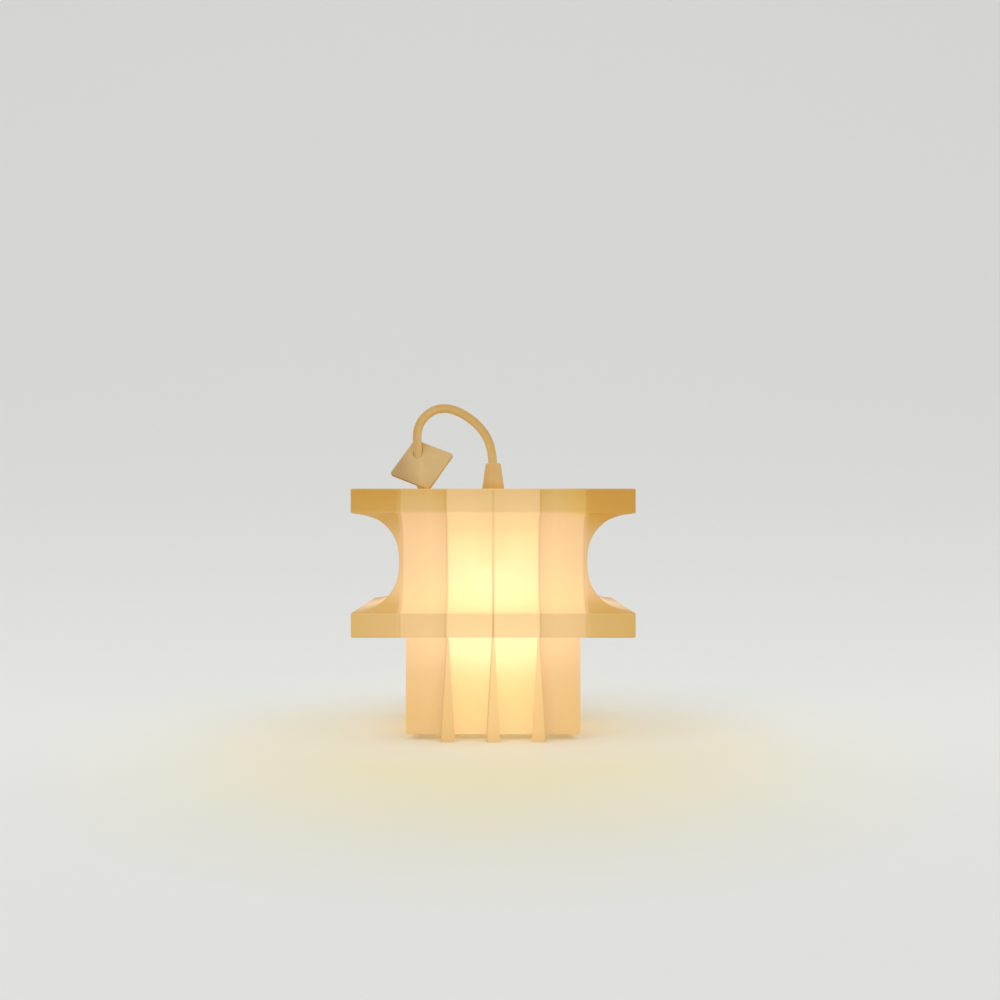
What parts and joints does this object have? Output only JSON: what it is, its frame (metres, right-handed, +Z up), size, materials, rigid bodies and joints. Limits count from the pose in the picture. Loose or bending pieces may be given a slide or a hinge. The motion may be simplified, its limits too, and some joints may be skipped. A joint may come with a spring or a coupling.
{
  "type": "table lantern",
  "caption": "Square film-skinned table lantern: a hollow-waisted shade on a steel frame with blade legs, a hanging bulb, a conical cord grip and a tagged lead.",
  "frame": {"origin": "on the floor, under the middle of the lantern's square plan", "axes": "+Z up, -Y towards the pictured front, +X to the right of that view"},
  "size_m": [0.22, 0.3577, 0.2744],
  "materials": {
    "film": "translucent, satin",
    "leg_film": "satin",
    "frame_paint": "satin",
    "brass": "satin",
    "grip_plastic": "satin",
    "holder_plastic": "gloss",
    "bulb_metal": "satin",
    "bulb_glass": "opal",
    "cord": "satin",
    "tag": "satin",
    "tie": "woven",
    "plug": "satin",
    "pin_metal": "nickel plated"
  },
  "bodies": {
    "lantern": {"top_cover": "film", "upper_band": "film", "lower_band": "film", "lower_shelf": "film", "waist_panel_front": "film", "waist_panel_right": "film", "waist_panel_back": "film", "waist_panel_left": "film", "core_panel_front": "film", "core_panel_right": "film", "core_panel_back": "film", "core_panel_left": "film", "upper_hoop_top": "frame_paint", "upper_hoop_foot": "frame_paint", "lower_hoop_top": "frame_paint", "lower_hoop_foot": "frame_paint", "core_hoop_top": "frame_paint", "core_hoop_foot": "frame_paint", "rib_front_1": "frame_paint", "rib_front_2": "frame_paint", "rib_front_3": "frame_paint", "rib_front_4": "frame_paint", "rib_front_5": "frame_paint", "rib_back_1": "frame_paint", "rib_back_2": "frame_paint", "rib_back_3": "frame_paint", "rib_back_4": "frame_paint", "rib_back_5": "frame_paint", "rib_right_1": "frame_paint", "rib_right_2": "frame_paint", "rib_right_3": "frame_paint", "rib_left_1": "frame_paint", "rib_left_2": "frame_paint", "rib_left_3": "frame_paint", "post_back_right": "frame_paint", "post_back_left": "frame_paint", "post_front_left": "frame_paint", "post_front_right": "frame_paint", "leg_front_1": "leg_film", "leg_front_2": "leg_film", "leg_front_3": "leg_film", "leg_back_1": "leg_film", "leg_back_2": "leg_film", "leg_back_3": "leg_film", "bridge": "frame_paint", "nipple": "brass", "lock_nut": "brass", "cord_grip": "grip_plastic", "holder_cap": "holder_plastic", "holder_body": "holder_plastic", "cord_arch": "cord", "cord_drop": "cord", "cord_coil": "cord", "cord_tag": "tag", "coil_tie": "tie", "plug_body": "plug", "plug_pin_left": "pin_metal", "plug_pin_right": "pin_metal"},
    "bulb": {"bulb_cap": "bulb_metal", "bulb_glass": "bulb_glass"}
  },
  "joints": [
    {"name": "bulb_turn", "type": "hinge", "parent": "lantern", "child": "bulb", "pos_m": [0, 0, 0.15], "axis": [0, 0, 1], "continuous": true}
  ]
}
